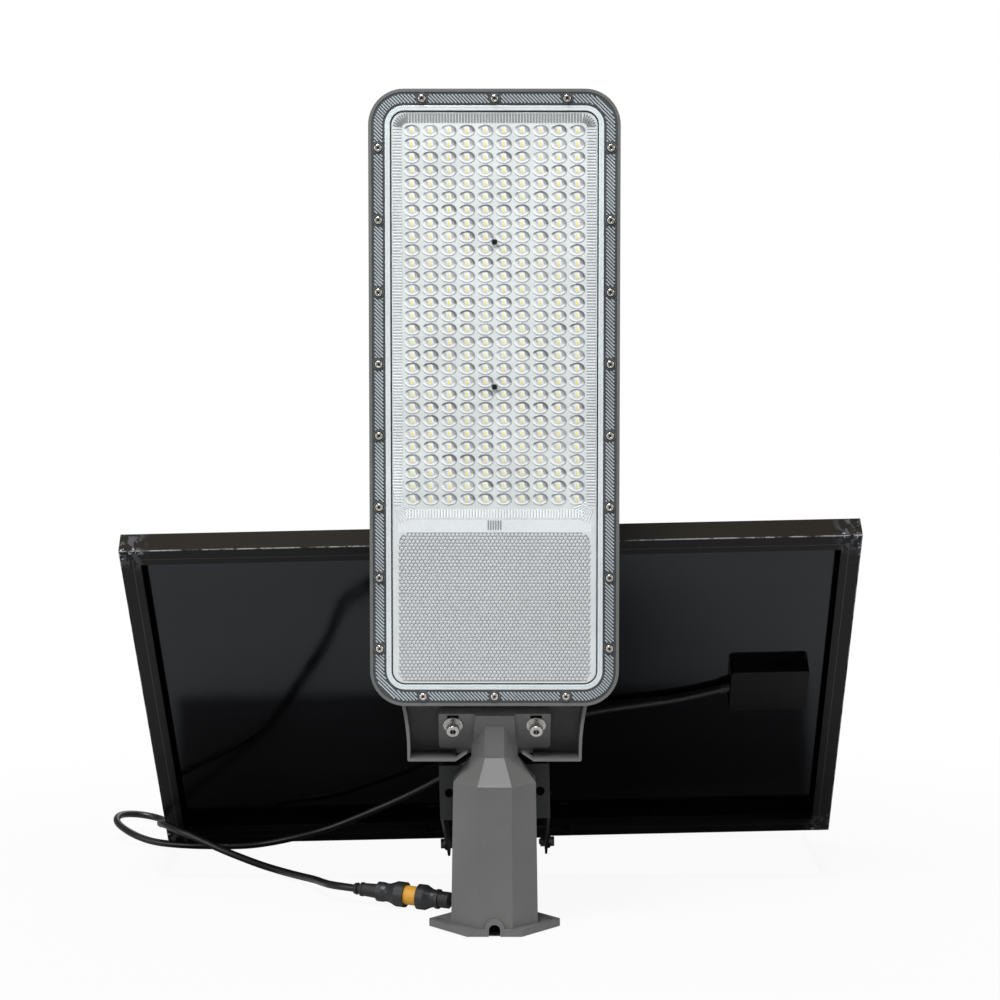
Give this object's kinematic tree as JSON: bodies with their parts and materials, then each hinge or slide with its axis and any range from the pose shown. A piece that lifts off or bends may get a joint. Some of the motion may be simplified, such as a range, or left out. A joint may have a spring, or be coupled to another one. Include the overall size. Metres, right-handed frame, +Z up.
{
  "type": "solar street lamp",
  "caption": "Rectangular LED solar street lamp on a cast pole arm with slotted head plate, joined by a plug-in cable to a framed solar panel on a tilting steel bracket.",
  "frame": {"origin": "centre of the pole socket's mouth, on the underside of the arm's flange", "axes": "+Z up along the pole socket, +X to the right of somebody who faces the lens, the lens looks along -Y"},
  "size_m": [0.8116, 0.4911, 0.8148],
  "materials": {
    "cast_grey": "grey powder coat on cast aluminium",
    "frame_grey": "dark blue-grey textured coat",
    "screw_steel": "plain stainless steel",
    "clear_cover": "clear moulded polycarbonate",
    "black_rubber": "matt black",
    "white_board": "white coated board",
    "led_yellow": "phosphor",
    "cell_wrap": "shrink sleeve on the cells",
    "inner_plastic": "black moulding",
    "board_green": "solder mask",
    "component_black": "moulded parts",
    "bracket_grey": "dark grey paint on steel",
    "black_frame": "black anodised aluminium",
    "solar_glass": "clear tempered glass",
    "cell_blue": "dark silicon",
    "black_backsheet": "glossy black film",
    "white_sealant": "dark silicone",
    "black_plastic": "black moulding",
    "cable_black": "satin rubber sheath",
    "seal_yellow": "yellow ring",
    "key_alloy": "mill finish"
  },
  "bodies": {
    "root": {"mounting_arm": "cast_grey", "pole_clamp_screws": "screw_steel", "panel_bracket": "bracket_grey", "bracket_bolts": "screw_steel", "bracket_washers": "screw_steel", "pivot_bolts": "screw_steel", "pivot_nuts": "screw_steel", "pivot_washers": "screw_steel", "plug_cable": "cable_black", "plug_boot": "black_rubber", "plug_body": "black_plastic", "plug_seal_ring": "seal_yellow", "socket_body": "black_plastic", "socket_boot": "black_rubber", "lamp_cable": "cable_black"},
    "lamp": {"arm_bolts": "screw_steel", "arm_spring_washers": "screw_steel", "arm_flat_washers": "screw_steel", "lamp_housing": "cast_grey", "front_frame": "frame_grey", "frame_screws": "screw_steel", "lens_cover": "clear_cover", "lens_seal": "black_rubber", "lens_screws": "component_black", "lens_spacers": "inner_plastic", "led_board": "white_board", "led_chips": "led_yellow", "board_screws": "screw_steel", "battery_cover": "white_board", "light_sensor": "component_black", "battery_cells": "cell_wrap", "battery_tray": "inner_plastic", "battery_straps": "screw_steel", "controller_board": "board_green", "controller_parts": "component_black", "controller_screws": "screw_steel", "lamp_gland": "black_plastic", "gland_nut": "black_plastic", "breather_vent": "black_plastic"},
    "panel": {"bottom_rail": "black_frame", "top_rail": "black_frame", "left_stile": "black_frame", "right_stile": "black_frame", "corner_keys": "key_alloy", "solar_glass": "solar_glass", "solar_cells": "cell_blue", "backsheet": "black_backsheet", "frame_sealant": "white_sealant", "junction_box_body": "black_plastic", "junction_box_lid": "black_plastic", "junction_gland": "black_rubber", "junction_terminals": "component_black", "hinge_plate": "bracket_grey", "rail_bolts": "screw_steel", "rail_nuts": "screw_steel", "panel_lead": "cable_black"}
  },
  "joints": [
    {"name": "lamp_slide", "type": "slide", "parent": "root", "child": "lamp", "axis": [0, -0.5, 0.866], "range_m": [-0.004, 0.007], "deforming": ["lamp_cable"]},
    {"name": "panel_tilt", "type": "hinge", "parent": "root", "child": "panel", "pos_m": [0.00252, 0.34331, 0.0098], "axis": [-0.9998, 0, -0.022], "range_deg": [0, 15], "deforming": ["plug_cable", "panel_lead"]}
  ]
}
